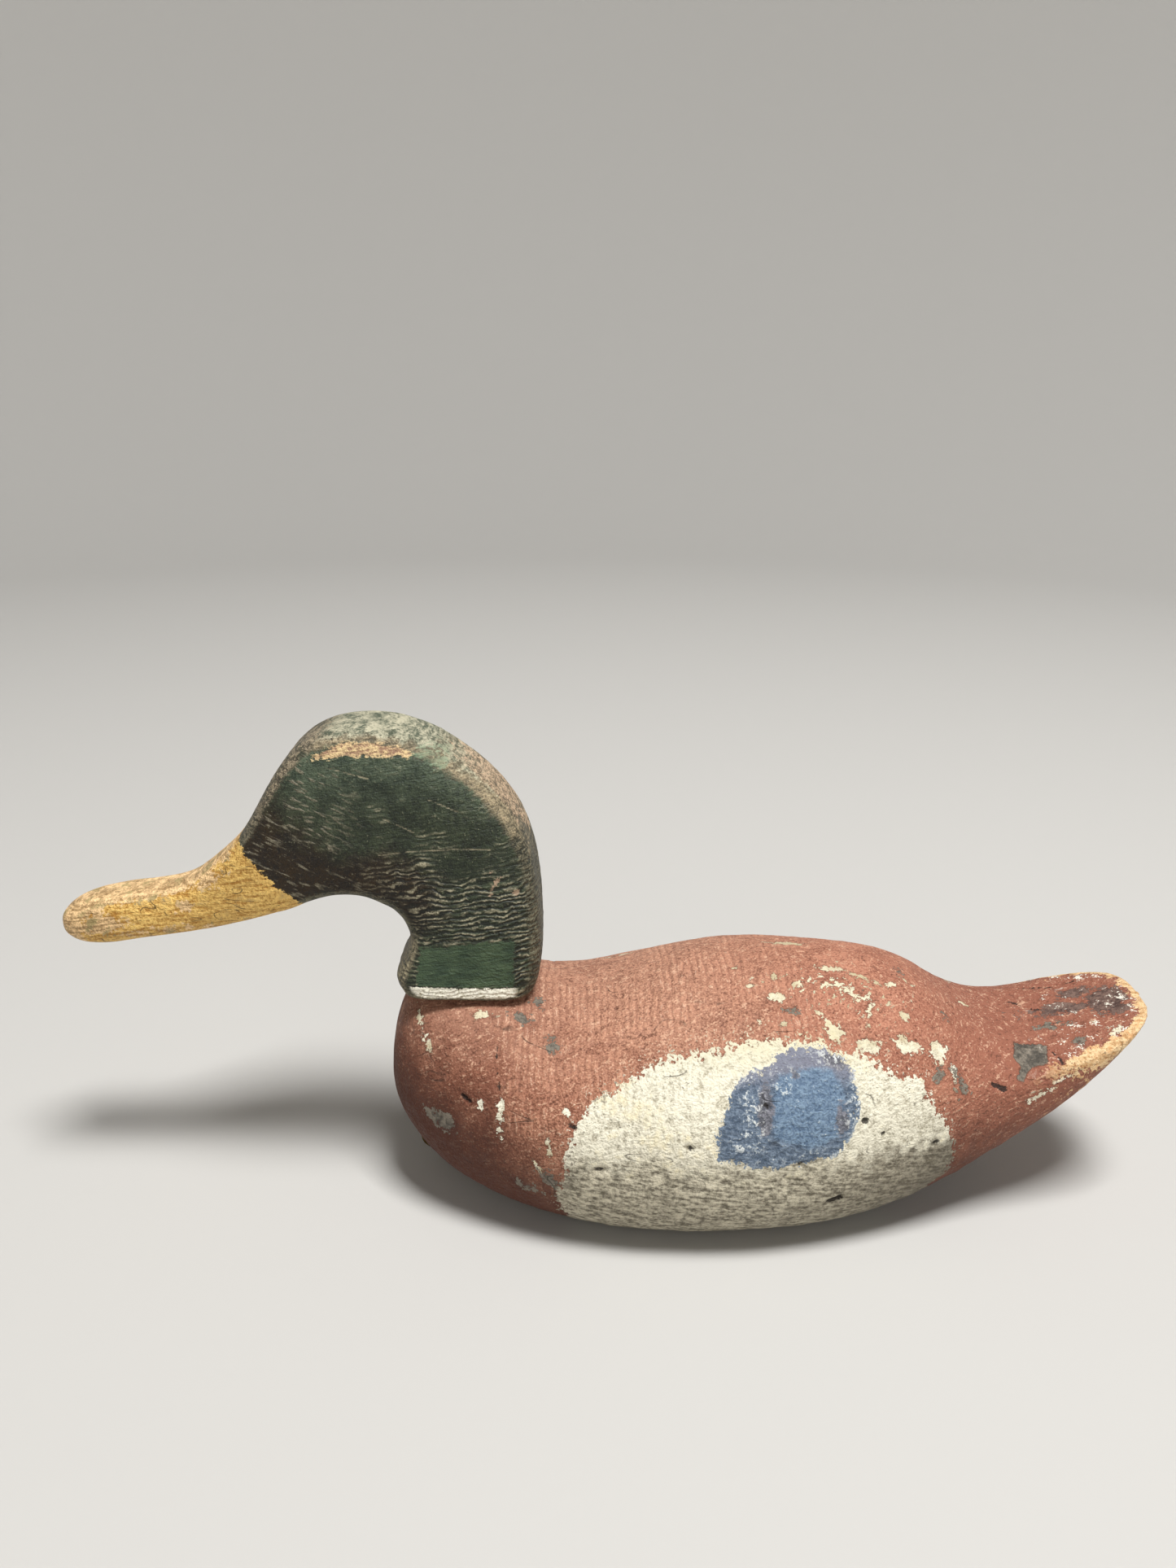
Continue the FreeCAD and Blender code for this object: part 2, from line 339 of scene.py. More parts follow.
# ---------------------------------------------------------------- body
# Outlines on the side, in percent of the body's length from the breast and of its height from the bottom.
PANEL = [(25.5, -10), (24, 10), (22.6, 25), (23.4, 36), (23.8, 46), (25, 57), (27.1, 64.7), (30.2, 69),
         (32.5, 74), (35, 78), (38.6, 80.2), (42.2, 82.6), (45.5, 84.8), (49, 86), (52, 85), (55.5, 84),
         (57.2, 80.8), (59.3, 80.8), (61.5, 76.8), (64, 73), (67.2, 70), (68.4, 63), (70.6, 52), (72.3, 40),
         (72, 28), (69.5, 18), (66, 8), (60, -10)]
BLUE = [(42.2, 47.5), (41.8, 58), (43, 66), (44.2, 73), (46, 77), (48.6, 77.8), (49.5, 81.4), (52.5, 83),
        (55.6, 82.4), (57.6, 79), (58.5, 74.5), (59.2, 68), (59.3, 61), (58.3, 54), (56.8, 47),
        (53.8, 44.4), (50.8, 43.5), (47.5, 43.8), (44.6, 45.5)]
BLUE_CORE = [(48.8, 55), (48.4, 66), (49.2, 76), (53, 77.5), (56, 77), (57.6, 67), (57, 54), (53, 50.5)]
BREAST_CRACK = [(15.2, 84.2), (15, 74.2), (15.6, 59.1)]

# Spots on the side: percent along, percent up, then length and height in mm and lean in degrees.
SIDE_CHIPS = [(4.7, 79.5, 1.6, 6, 20), (6, 74, 1.6, 6, 20), (13, 58.5, 2, 4, 0), (15.5, 56, 2.6, 8, 0),
              (15.5, 49, 2, 5, 0), (21.5, 47, 2, 7, 10), (20.5, 36, 2, 5, 30), (24, 61, 2.5, 1.5, 0),
              (57, 86.5, 8, 3.5, 0), (61, 82, 10, 4, -10), (66, 81, 11, 4, -20), (70, 77, 7, 6, -30),
              (72, 68, 2.5, 8, 10), (83, 56.5, 9, 2, 25), (86.5, 64, 7, 2, 25), (88.5, 66.5, 8, 2, 25)]
SIDE_GREY = [(22, 77.5, 4, 3.5, 0), (22, 32, 11, 5, -30), (70, 70, 4, 3, 0), (72.5, 66, 3, 7, 30),
             (8, 46, 14, 8, -10), (19, 26, 10, 3, -20)]
BLUE_SCUFFS = [(46.2, 64, 7, 26, 5), (45, 55, 8, 8, 0), (59.2, 70, 5, 24, -12), (56.5, 80, 12, 4, -5),
               (54, 46.5, 14, 3, 0), (49.8, 74, 8, 7, 0)]
BLUE_BARE = [(47.7, 65, 7, 18, 0), (57.2, 60, 5, 12, 0), (51.5, 75.5, 4, 2.5, -30), (56.5, 79, 10, 5, -10)]
PITS = [(11, 59, 7, 1.4, -28), (24.5, 56, 4, 1.8, -20), (27.7, 40.6, 5, 1.4, 5), (38.6, 52, 3.5, 2, -20),
        (60.1, 58.4, 3, 2.4, -20), (62.6, 51.8, 2, 2, 0), (69.7, 43.8, 3, 2, 20), (52.1, 44.2, 2.6, 1.6, 0),
        (57.2, 25.5, 9, 2, 15), (48, 66.5, 3, 1.4, -30), (30, 58, 3, 1, -10)]
FLAKY_SIDE = [(66, 82, 44, 18, -20), (86, 62, 40, 10, 25), (21, 45, 12, 30, 10), (72, 48, 8, 30, 10)]

# Spots on the back, seen from above: percent along, percent of half the width, then mm, mm and degrees.
BACK_CHIPS = [(50, -40, 8, 4, 10), (53, -30, 4, 2, 0), (50, -23, 2.5, 3.5, 0), (58, -15, 11, 3, -8),
              (60.8, -19, 8, 3, -22), (62.8, -24, 6, 2, -20), (45.2, -13, 3, 2, 0), (47, -30, 2.5, 2, 0),
              (58, -24, 4, 1.5, 0), (60.5, -36, 6, 1.5, 0), (47.5, -54, 2, 5, 0), (50.6, -55, 3.5, 2, 20),
              (53, 17, 16, 3, -4), (65, -23, 4, 2.5, 0), (61.5, -45, 2, 8, -15),
              (55.5, -51, 1.5, 10, 40), (76.5, -1, 4, 3, 0), (66, -43.5, 4, 2.5, 0), (67, -13, 7, 1.5, -30),
              (13, -38, 7, 2.5, 0), (31, 43, 9, 2, 0), (89.6, -46, 7, 3, 10), (94, -33, 6, 3, 40)]
BACK_GREY = [(18, -37, 9, 6, 0), (20, -23, 5, 5, 0), (87, -17, 11, 5, 0), (89, -35, 4, 6, 0),
             (72, -30, 3, 3, 0), (67, -4, 6, 5, 0), (61, -31, 5, 3, 0), (52, -47, 4, 2.5, 0)]
BACK_DARK = [(89.5, -2, 27, 8, 0), (95, -3, 16, 22, 0), (92, 14, 14, 8, 5)]
FLAKY_BACK = [(58, -30, 85, 40, -12), (94, -30, 30, 24, 50)]

# Outline and lines on the tail, seen from above, in the same percents.
TAIL_FLAKE = [(81.2, -30), (85.1, -33), (84.6, -46), (82.2, -49), (81, -55), (80.3, -54), (81, -48),
              (80.4, -42)]
TAIL_CRACKS = [[(82.5, 20), (84, 15), (86, 3), (88, 1)], [(85, -33), (86.3, -48)], [(77, -58), (80.5, -60)],
               [(86, 33), (90, 26), (94, 29)]]


def body_fields(mesh, points, normals):
    """Writes the fields that the paint reads; returns the depth of cracks, pits and tail flake, in mm."""
    side, low, high = points[:, [0, 2]], BODY_LOW[[0, 2]], BODY_HIGH[[0, 2]]
    plan = points[:, [0, 1]]
    plan_low, plan_high = np.array([low[0], 0]), np.array([high[0], BODY_HIGH[1]])
    mirrored = np.where(points[:, 1:2] < 0, side, side + FAR_SIDE_SHIFT)
    wobble = 0.5 * noise(points, 5, 31)
    not_upper = SHRINK_ON_SIDES * (1 - smooth_step(normals[:, 2], 0.15, 0.35))
    for name, outline in (("panel", PANEL), ("blue", BLUE), ("blue_core", BLUE_CORE)):
        write_field(mesh, name, inside_outline(side, percent_points(outline, low, high)))
    for name, on_side, on_back in (("chips", SIDE_CHIPS, BACK_CHIPS), ("grey", SIDE_GREY, BACK_GREY)):
        write_field(mesh, name, np.maximum(spots(mirrored, on_side, low, high),
                                           spots(plan, on_back, plan_low, plan_high) - not_upper))
    write_field(mesh, "dark", spots(plan, BACK_DARK, plan_low, plan_high) - not_upper)
    flake = inside_outline(plan, percent_points(TAIL_FLAKE, plan_low, plan_high)) - not_upper
    write_field(mesh, "tail_flake", flake)
    write_field(mesh, "flaky", np.maximum(spots(plan, FLAKY_BACK, plan_low, plan_high) / 12 - not_upper,
                                          spots(mirrored, FLAKY_SIDE, low, high) / 10))
    write_field(mesh, "scuffs", spots(side, BLUE_SCUFFS, low, high))
    write_field(mesh, "blue_bare", spots(side, BLUE_BARE, low, high))
    write_field(mesh, "height", (points[:, 2] - BODY_LOW[2]) / MM)
    write_field(mesh, "along", (points[:, 0] - BODY_LOW[0]) / MM)
    write_field(mesh, "not_upper", not_upper)
    write_field(mesh, "edge", sharpness(mesh, 40))
    nearest = distance_to_line(mirrored, percent_points(BREAST_CRACK, low, high)) / MM
    for line in TAIL_CRACKS:
        away = distance_to_line(plan, percent_points(line, plan_low, plan_high)) / MM
        nearest = np.minimum(nearest, away + not_upper)
    pit = spots(mirrored, PITS, low, high)
    write_field(mesh, "crack_away", nearest)
    write_field(mesh, "pits", pit)
    return (CRACK_DEPTH * smooth_step(nearest + wobble, 1.2, 0.3)
            + PIT_DEPTH * smooth_step(pit + 0.4 * wobble, -0.4, 0.5)
            + TAIL_FLAKE_DEPTH * smooth_step(flake + wobble, -0.3, 0.6))


def carved_body():
    """The body's CAD shape with dents, tool marks, cracks and pits carved into it, and its paint."""
    piece = fine_copy("body", BODY_VOXEL)
    mesh = piece.data
    points, normals = read_points(mesh), read_normals(mesh)
    holes = body_fields(mesh, points, normals)
    dents = noise(points, 26, 3)
    tool = noise(points, 7, 11, stretch=(0.6, 1.6, 1.6), octaves=2)
    rough = noise(points, 3, 13, octaves=1) * smooth_step(points[:, 2] / MM, 48, 36)
    depth = BODY_DENTS * (dents - 1) + TOOL_MARKS * (tool - 1) + LOW_ROUGHNESS * (rough - 1) - holes
    write_points(mesh, points + normals * (depth * MM)[:, None])
    mesh.materials.append(body_paint())
    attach(piece, "hull")
    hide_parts("body")


def body_noises(m):
    """Noises and places that the body's coats share. Heights and distances tailwards are in mm."""
    m.broad = m.noise(45, detail=2)
    m.patch = m.noise(13)
    m.mid = m.noise(4.5, detail=4, rough=0.6)
    m.fine = m.noise(1.7, rough=0.65)
    m.grit = m.noise(0.8, detail=2)
    m.streak = m.noise(1.3, stretch=(4, 4, 1), lean=8)
    m.hatch = m.noise(1.2, stretch=(3.5, 3, 1), lean=-25)
    m.bristle = m.noise(1.3, stretch=(1, 1, 5))
    m.ragged = m.add(m.times(m.mid, 1.7), m.fine, m.times(m.grit, 0.5))
    m.speckle = m.add(m.fine, m.times(m.mid, 0.5), m.times(m.grit, 0.6))
    m.height = m.field("height")
    m.tailwards = m.field("along")


def red_coat(m):
    """Brick red, mottled, hatched and flecked with dust; darker on breast and rump, partly with painted
    shade; paler along the top of the front half, partly with painted highlight; and pinker over the rear
    half.
    """
    mottle = m.add(m.times(m.fine, 0.6), m.times(m.grit, 0.95), m.times(m.mid, 0.3), m.times(m.patch, 0.4))
    red = m.mix(m.step(mottle, -1.2, 1.2), "75432f", "c89074")
    red = m.mix(m.step(m.add(m.broad, m.patch), -0.8, 1.2, 0, 0.35), red, "c68e71")
    # Darker breast and rump: partly darker paint, partly painted shade where less light falls.
    rump = m.times(m.step(m.tailwards, 190, 250), m.step(m.tailwards, 350, 290), 0.85)
    breast = m.step(m.add(m.tailwards, m.times(m.patch, 12)), 100, 20, 0, 0.75)
    red = m.mix(m.most(rump, breast), red, "7b4936")
    # Paler top of the front half: partly dust, partly painted highlight where the light from above falls.
    dust_and_top_highlight = m.step(m.add(m.height, m.times(m.patch, 8)), 62, 86, 0, 0.15)
    dust_and_top_highlight = m.times(dust_and_top_highlight, m.step(m.tailwards, 190, 110))
    red = m.mix(dust_and_top_highlight, red, "deb498")
    pink = m.step(m.add(m.tailwards, m.times(m.broad, 30), m.times(m.patch, 15)), 110, 190, 0, 0.3)
    red = m.mix(pink, red, "b3715b")
    hatching = m.add(m.hatch, m.times(m.grit, 0.6))
    red = m.mix(m.step(hatching, 0.25, 0.9, 0, 0.6), red, "dfb496")
    red = m.mix(m.step(hatching, -0.3, -1, 0, 0.65), red, "5f3828")
    dust = m.step(m.add(m.grit, m.times(m.fine, 0.6), m.times(m.broad, 0.5)), 0.7, 1.3, 0, 0.7)
    red = m.mix(dust, red, "dfb99e")
    return m.mix(m.step(m.add(m.grit, m.times(m.mid, 0.6)), -0.75, -1.3, 0, 0.85), red, "50301f")


def grimy_and_shaded(m, red):
    """Darker red towards the bottom and round the breast: partly dirt, partly painted shade where less light
    falls.
    """
    grime_and_shade = m.add(m.height, m.times(m.ragged, 3), m.times(m.patch, 8), m.step(m.tailwards, 75, 0, 0, -34))
    # Painted shade and dirt: dark brown low down and round the breast.
    return m.mix(m.step(grime_and_shade, 60, 12, 0, 0.9), red, "482213")


def rasp_ridges(m, red):
    """Ridges across the front half, left by the rasp, with painted highlight on their crests and painted
    shade in their valleys; returns the colour and the ridges.
    """
    turns = m.times(m.along(0), 2 * math.pi / (RASP_PITCH * MM))
    ridge = m.calc("SINE", m.add(turns, m.times(m.noise(18), 2.2), m.times(m.mid, 0.8)))
    rasped = m.times(m.step(m.tailwards, 200, 150), m.step(m.tailwards, 25, 50),
                     m.step(m.add(m.height, m.times(m.patch, 8)), 42, 55),
                     m.step(m.add(m.broad, m.patch), -0.7, 0.6))
    crest_highlights = m.times(rasped, m.step(ridge, 0.7, 0.98), m.step(m.noise(3, stretch=(1, 1, 4)), 0.1, 0.7))
    # Painted highlight along the ridges' crests.
    red = m.mix(m.times(crest_highlights, 0.65), red, "dcb59b")
    # Painted shade in the ridges' valleys.
    red = m.mix(m.times(rasped, m.step(ridge, -0.4, -0.95), 0.4), red, "6f4232")
    return red, m.times(ridge, rasped)


def cream_coat(m):
    """Cream, speckled and yellowed, duller along the top, partly with dust and partly with painted shade
    that tones down the light falling there, and worn through in grains.
    """
    cream = m.mix(m.step(m.add(m.speckle, m.times(m.mid, 0.6)), -1.7, 0.5), "a59c85", "ebe5d0")
    cream = m.mix(m.step(m.add(m.broad, m.mid), 0.1, 1.2, 0, 0.6), cream, "dccda2")
    # Duller top: partly dust, partly painted shade against the light from above.
    cream = m.mix(m.step(m.add(m.height, m.times(m.mid, 5)), 70, 86, 0, 0.55), cream, "cdc39f")
    dabs = m.step(m.add(m.hatch, m.times(m.fine, 0.6)), -0.7, -1.5, 0, 0.6)
    cream = m.mix(dabs, cream, "8f8873")
    worn = m.step(m.add(m.grit, m.times(m.fine, 0.6), m.times(m.patch, 0.7)), 0.8, 1.4, 0, 0.9)
    return m.mix(worn, cream, "7b7363")


def chipped(m, red, cream):
    """Older coats that show where the red is gone, with painted shadow along the edges of the chips and
    flakes; returns the colour, the chips and the deep flakes.
    """
    flaky = m.field("flaky")
    large = m.add(m.noise(3, stretch=(2.4, 1, 1), shift=9, lean=15), m.times(flaky, 0.8), -1.62)
    small = m.add(m.hatch, m.times(m.fine, 0.5), m.times(flaky, 0.5), -1.02)
    chip = m.most(m.add(m.field("chips"), m.ragged), m.times(m.most(large, small), 3))
    grey_chip = m.most(m.add(m.field("grey"), m.times(m.ragged, 1.9), -0.3),
                       m.add(m.field("tail_flake"), m.times(m.ragged, 0.45)))
    chips = m.step(chip, 0, 0.25)
    greyed = m.step(grey_chip, 0, 0.25)
    darkened = m.step(m.add(m.field("dark"), m.times(m.ragged, 2.2)), 0, 0.3)
    grey = m.mix(m.step(m.add(m.fine, m.mid), -0.8, 0.8), "48433b", "7f7669")
    dark = m.mix(m.step(m.add(m.mid, m.fine), -0.8, 0.9), "49352f", "7b6257")
    base = m.mix(chips, red, m.mix(m.step(m.patch, -0.4, 0.6), cream, "bfb08e"))
    base = m.mix(greyed, base, grey)
    base = m.mix(darkened, base, dark)
    specks = m.step(m.noise(2.4, stretch=(2.5, 1, 1), shift=2), 0.7, 0.82)
    base = m.mix(m.times(specks, m.step(m.field("dark"), -3.5, 0)), base, "d3c6b8")
    paint_edge_shadows = m.most(m.lip(chip, 0.4), m.lip(grey_chip, 0.35))
    # Painted shadow: dark lines along the edges of the chips and grey flakes.
    base = m.mix(m.times(paint_edge_shadows, m.step(m.fine, -0.8, 0.2), 0.65), base, "3f281e")
    return base, chips, m.most(greyed, darkened)


def side_panel(m, base, cream):
    """Cream panel, weathered and partly darkened with painted shade in its lower part; returns the colour,
    the panel and that lower part.
    """
    edge = m.add(m.field("panel"), m.times(m.ragged, 1.2), m.times(m.bristle, 1.6))
    splashes = m.times(m.step(m.field("panel"), -7, -1), m.step(m.add(m.fine, m.grit), 0.65, 0.9))
    panel = m.most(m.step(edge, -0.2, 0.2), splashes)
    low = m.step(m.add(m.height, m.times(m.mid, 7), m.times(m.patch, 5)), WEATHER_AND_SHADE_LINE + 6, WEATHER_AND_SHADE_LINE - 6)
    # Lower part: weathered grey streaks, partly painted shade where the surface turns under.
    worn = m.mix(m.step(m.add(m.streak, m.times(m.fine, 0.9)), -1, 1), "686151", "ddd4bc")
    worn = m.mix(m.step(m.add(m.patch, m.fine), 0.5, 1.5, 0, 0.8), worn, "403a31")
    worn = m.mix(m.step(m.tailwards, 140, 250, 0, 0.85), worn, "544c3e")
    # Darker towards the bottom: painted shade.
    worn = m.mix(m.step(m.height, 30, 8, 0, 0.35), worn, "4f4a3f")
    base = m.mix(panel, base, m.mix(low, cream, worn))
    bald = m.times(panel, m.step(m.field("panel"), 9, 2), m.step(m.add(m.mid, m.fine), 0.5, 0.9),
                   m.step(m.tailwards, 150, 60))
    return m.mix(bald, base, "847b6c"), panel, low


def wing_patch(m, base):
    """Blue patch with a brighter middle, scuffed down to white; returns the colour and its bared part."""
    blue = m.mix(m.step(m.add(m.streak, m.speckle), -1.3, 1.3), "435265", "7b8a9b")
    core = m.mix(m.step(m.add(m.times(m.streak, 0.6), m.speckle), -1.3, 1.3), "4c627c", "8197ac")
    blue = m.mix(m.step(m.add(m.height, m.times(m.ragged, 1.5)), 68, 76, 0, 0.75), blue, "82818d")
    blue = m.mix(m.step(m.add(m.field("blue_core"), m.times(m.ragged, 0.9)), -1.2, 1.2), blue, core)
    bare = m.step(m.add(m.field("blue_bare"), m.ragged), -0.3, 0.6)
    blue = m.mix(m.times(bare, 0.9), blue, m.mix(m.step(m.fine, -0.5, 0.7), "535359", "84828a"))
    rubbed = m.step(m.add(m.times(m.mid, 0.8), m.fine, m.times(m.grit, 0.5)), 0.1, 0.9)
    scuffed = m.times(m.step(m.field("scuffs"), -3, 2), rubbed)
    blue = m.mix(scuffed, blue, "dfe2de")
    blue = m.mix(m.step(m.add(m.grit, m.streak), 0.9, 1.4, 0, 0.8), blue, "c9cdcb")
    wing = m.step(m.add(m.field("blue"), m.times(m.ragged, 1.3), m.bristle), -0.3, 0.4)
    return m.mix(wing, base, blue), m.times(wing, bare)


def bared_wood(m, base):
    """Wood along the tail's rim, with rags of white beside it, and on the flat bottom."""
    edge = m.add(m.field("edge"), m.times(m.ragged, 0.22))
    tail = m.step(m.tailwards, 250, 275)
    rags = m.step(m.add(m.noise(3.4, stretch=(2, 2, 1), shift=6), m.times(m.grit, 0.5)), 0.3, 0.5)
    rags = m.times(tail, rags, m.step(edge, 0.1, 0.28), m.step(m.field("not_upper"), 6, 2))
    base = m.mix(rags, base, "ece6d6")
    wood = m.mix(m.step(m.add(m.noise(1.6, stretch=(10, 1, 1)), m.speckle), -1.2, 1), "b08250", "efcfa0")
    wood = m.mix(m.step(m.add(m.fine, m.grit), 0.55, 1.2), wood, "6b4c36")
    wood = m.mix(m.step(m.add(m.mid, m.times(m.grit, 0.5)), 0.2, 0.8, 0, 0.7), wood, "d9a068")
    base = m.mix(m.times(tail, m.step(edge, 0.42, 0.56)), base, wood)
    bottom = m.step(m.add(m.height, m.times(m.ragged, 0.5)), 2, 0.8)
    lengthways = m.add(m.noise(1.4, stretch=(12, 1, 1), shift=3),
                       m.times(m.noise(5, stretch=(5, 1, 1)), 0.7))
    return m.mix(bottom, base, m.mix(m.step(lengthways, -1.2, 1.2), "5f5342", "a5967e"))


def body_paint():
    """All the body's coats, from the red upwards, with its cracks and pits."""
    m = Coat("worn_body_paint")
    body_noises(m)
    red, ridges = rasp_ridges(m, red_coat(m))
    cream = cream_coat(m)
    base, chips, deep = chipped(m, grimy_and_shaded(m, red), cream)
    base, panel, low = side_panel(m, base, cream)
    base, bare = wing_patch(m, base)
    base = bared_wood(m, base)
    splits = m.times(m.cracks(26, 0.02, stretch=(3, 1.4, 1)), m.step(m.patch, 0, 0.6))
    crack = m.step(m.add(m.field("crack_away"), m.times(m.ragged, 0.3), m.times(m.mid, 0.3)), 0.5, 0.2)
    hollow = m.most(m.step(m.add(m.field("pits"), m.times(m.ragged, 0.3)), -0.2, 0.2), crack)
    base = m.mix(m.times(m.most(hollow, m.times(splits, 0.7)), 0.9), base, "1f1814")
    relief = m.add(m.times(ridges, 0.13), m.times(m.mid, 0.2), m.times(m.fine, 0.22), m.times(m.grit, 0.12),
                   m.times(m.hatch, 0.12), m.times(panel, 0.12), m.times(panel, m.streak, 0.08),
                   m.times(panel, low, m.streak, 0.14), m.times(deep, -0.2), m.times(chips, -0.08),
                   m.times(bare, -0.1), m.times(splits, -0.3))
    return m.finish(base, m.step(m.add(m.fine, m.mid), -1.5, 1.5, 0.55, 0.82), relief)


# ---------------------------------------------------------------- head
# Outlines and lines on the side, in percent of the head's length from the bill's tip and of its height.
BILL_EDGE = [(38, 62), (40.9, 54), (44.8, 46.5), (47.8, 41), (51, 35.5), (53, 28)]
BARE_STRIP = [(55.6, 89.8), (62, 91), (68, 91.2), (74.4, 90.6), (75.2, 92), (72, 94.6), (67, 96),
              (61.5, 95.4), (58, 93)]
REPAINT = [(74.6, 5.5), (75.2, 20.6), (86, 23), (94.5, 24), (94.3, 5.5)]
CHEEK = [(41, 66), (46, 52), (56, 42), (70, 38)]

# Spots on the head's side, in percent of its length and height, then mm, mm and degrees.
HEAD_MARKS = [(94.9, 42, 3, 2.2, 0), (90, 50, 1, 2, 0), (91, 46, 1, 5, -30)]
MINT = [(78, 91, 14, 6, -8), (80, 89, 8, 6, 0)]
NAPE_BARE = [(90.5, 78, 40, 9, -49)]
BROW_RUB = [(54, 80, 16, 22, 20), (62, 66, 30, 20, 0)]
BILL_BARE = [(6, 31, 22, 12, 15), (13, 36, 16, 6, 20), (2, 22, 14, 26, 0), (20, 42, 30, 6, 12),
             (27, 32, 6, 4, 30), (33, 43, 14, 5, 25), (21, 22, 34, 2, 6), (9, 24, 22, 8, 8)]

# Scratches on the cheek, as lines in percent.
SCRATCHES = [[(67.8, 55.4), (74, 57), (84, 58.3), (91, 58)], [(57.5, 87.5), (66.5, 83.3)],
             [(76, 22.5), (86, 24.8)], [(78, 76), (84, 71.5)], [(69, 69), (75, 64)]]


def head_fields(mesh, points, normals):
    """Writes the fields that the paint reads."""
    side, low, high = points[:, [0, 2]], HEAD_LOW[[0, 2]], HEAD_HIGH[[0, 2]]
    mirrored = np.where(points[:, 1:2] < 0, side, side + FAR_CHEEK_SHIFT)
    smooth = np.stack([spread(mesh, normals[:, k], 12) for k in range(3)], axis=1)
    outline = [(-5, -5), (-5, 62), *BILL_EDGE, (53, -5)]
    write_field(mesh, "bill", inside_outline(side, percent_points(outline, low, high)))
    write_field(mesh, "bare_strip", inside_outline(mirrored, percent_points(BARE_STRIP, low, high)))
    write_field(mesh, "repaint", inside_outline(side, percent_points(REPAINT, low, high)))
    write_field(mesh, "cheek", distance_to_line(side, percent_points(CHEEK, low, high)) / MM)
    for name, places in (("marks", HEAD_MARKS), ("mint", MINT), ("bill_bare", BILL_BARE),
                         ("brow_rub", BROW_RUB)):
        write_field(mesh, name, spots(mirrored, places, low, high))
    write_field(mesh, "nape_bare", spots(side, NAPE_BARE, low, high))
    scratches = [distance_to_line(mirrored, percent_points(line, low, high)) for line in SCRATCHES]
    write_field(mesh, "scratch", np.min(scratches, axis=0) / MM)
    write_field(mesh, "height", (points[:, 2] - HEAD_LOW[2]) / MM)
    write_field(mesh, "along", (points[:, 0] - HEAD_LOW[0]) / MM)
    write_field(mesh, "flat", np.abs(smooth[:, 1]))
    write_field(mesh, "forward", -smooth[:, 0])
    write_field(mesh, "facing_up", smooth[:, 2])
    write_field(mesh, "edge", sharpness(mesh, 50))


def carved_head():
    """The head's CAD shape with dents and grain carved into it, and its paint."""
    piece = fine_copy("head", HEAD_VOXEL)
    mesh = piece.data
    points, normals = read_points(mesh), read_normals(mesh)
    head_fields(mesh, points, normals)
    dents = noise(points, 20, 5, octaves=2)
    grain = noise(points, 1.6, 21, stretch=(10, 3, 1), octaves=2)
    depth = HEAD_DENTS * (dents - 1) + HEAD_GRAIN * (grain - 1)
    write_points(mesh, points + normals * (depth * MM)[:, None])
    mesh.materials.append(head_paint())
    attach(piece, "head")
    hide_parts("head")


def head_noises(m):
    """Noises and places that the head's coats share. Heights and distances tailwards are in mm."""
    m.broad = m.noise(24, detail=2)
    m.patch = m.noise(9)
    m.mid = m.noise(4, detail=4, rough=0.6)
    m.fine = m.noise(1.3, rough=0.65)
    m.grit = m.noise(0.7, detail=2)
    m.grain = m.noise(0.9, stretch=(8, 8, 1), lean=-8)
    m.ragged = m.add(m.times(m.mid, 1.3), m.times(m.fine, 0.8), m.times(m.grit, 0.4))
    m.speckle = m.add(m.fine, m.times(m.mid, 0.5), m.times(m.grit, 0.6))
    m.height = m.field("height")
    m.tailwards = m.field("along")
    m.flat = m.field("flat")
    m.facing_up = m.field("facing_up")


def green_coat(m):
    """Dark green, lighter above, going dark brown over the cheek and the face."""
    mottle = m.step(m.add(m.speckle, m.patch), -1.6, 1.6)
    green = m.mix(mottle, "1a2118", "3f4833")
    green = m.mix(m.step(m.add(m.height, m.times(m.patch, 7)), 72, 98, 0, 0.55), green,
                  m.mix(mottle, "3a4839", "697660"))
    brown = m.mix(mottle, "140e08", "34250f")
    face = m.add(m.field("cheek"), m.times(m.broad, 7), m.times(m.mid, 4), m.times(m.fine, 3))
    return m.mix(m.step(face, 27, 8), green, brown)


def neck_ridges(m, green, repaint):
    """Long wavy ridges with light, broken crests, partly worn to the wood and partly painted highlight, and
    dark valleys of painted shade; returns the colour, the ridges and where they are.
    """
    across = m.add(m.along(2), m.times(m.along(0), -NECK_RIDGE_RISE))
    wave = m.add(m.times(across, 2 * math.pi / (NECK_RIDGE_PITCH * MM)), m.times(m.noise(16), 7),
                 m.times(m.noise(5, stretch=(2, 2, 1)), 3), m.fine)
    crest = m.calc("SINE", wave)
    ridged = m.times(m.step(m.add(m.tailwards, m.times(m.broad, 12)), 100, 145), m.no(repaint))
    strength = m.step(m.add(m.patch, m.step(m.height, 72, 30, -0.5, 1)), -0.6, 0.6)
    broken = m.times(strength, m.step(m.noise(2, stretch=(2.4, 2.4, 1)), -0.4, 0.5))
    # Painted shade in the ridges' valleys.
    green = m.mix(m.times(ridged, strength, m.step(crest, 0, -0.9), 0.85), green, "141811")
    # Light crests: partly worn to the wood, partly painted highlight.
    light = m.times(ridged, broken, m.step(crest, -0.1, 0.8), 0.8)
    bare = m.mix(m.step(m.add(m.grit, m.times(m.mid, 0.6)), -0.9, 1), "67644f", "cbc1a3")
    green = m.mix(light, green, bare)
    return green, m.times(crest, ridged, strength), ridged


def face_strokes(m, green, ridged):
    """Short rubbed strokes over the cheek and brow; returns the colour and the strokes."""
    stroke = m.step(m.noise(1.4, stretch=(4, 4, 1), detail=1, lean=24), 0.25, 0.7)
    often = m.step(m.add(m.patch, m.mid, m.step(m.field("brow_rub"), -2, 4, 0, 1)), -0.8, 0.4)
    stroke = m.times(stroke, often, m.step(ridged, 0.9, 0.1))
    green = m.mix(m.times(stroke, 0.8), green, m.mix(m.step(m.grit, -0.6, 0.6), "6b6553", "958d78"))
    return m.mix(m.step(m.add(m.grit, m.fine), 0.8, 1.5, 0, 0.8), green, "8d8a74"), stroke


